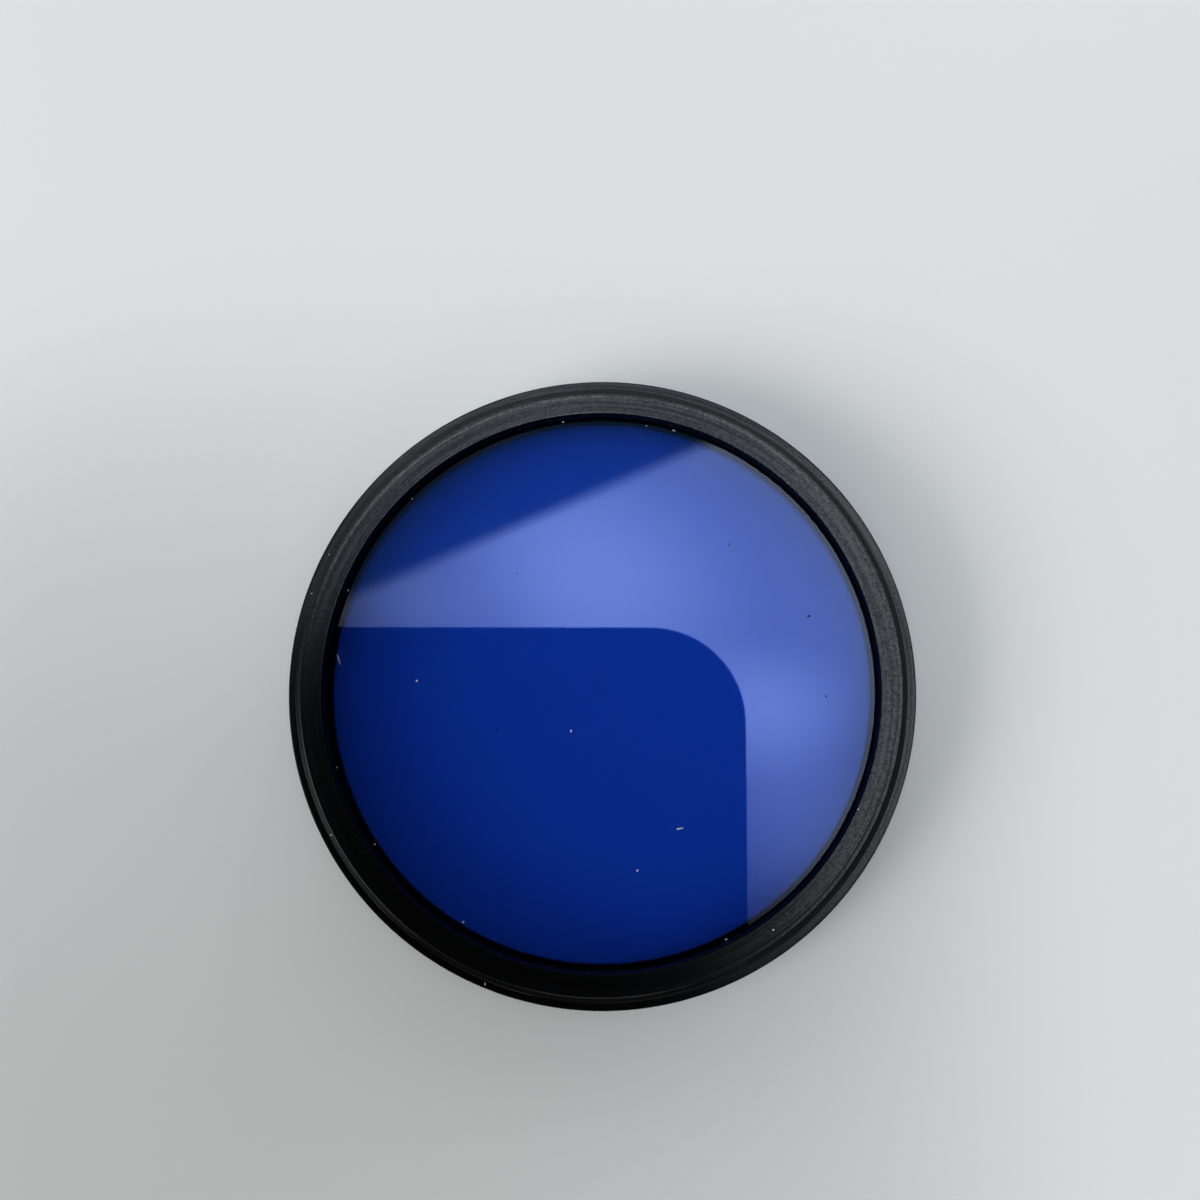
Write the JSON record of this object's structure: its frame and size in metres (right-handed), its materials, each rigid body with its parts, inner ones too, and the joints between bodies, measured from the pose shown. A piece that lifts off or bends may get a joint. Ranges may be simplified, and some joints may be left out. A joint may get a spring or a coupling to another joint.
{
  "type": "screw-in colour conversion filter",
  "caption": "Round screw-in camera lens filter: a solid blue glass disc held in a black metal ring that has a male thread behind and a female thread in front.",
  "frame": {"origin": "centre of the front rim, on the plane that the filter lies on", "axes": "+Z along the optical axis from the front rim to the male thread; X and Y are free, since only the two wrench notches break the symmetry"},
  "size_m": [0.054, 0.054, 0.0071],
  "materials": {
    "ring_black": "satin black anodised",
    "blue_glass": "polished, coloured through",
    "retainer_black": "matt black anodised"
  },
  "bodies": {
    "root": {"filter_ring": "ring_black", "filter_glass": "blue_glass", "retaining_ring": "retainer_black"}
  },
  "joints": []
}
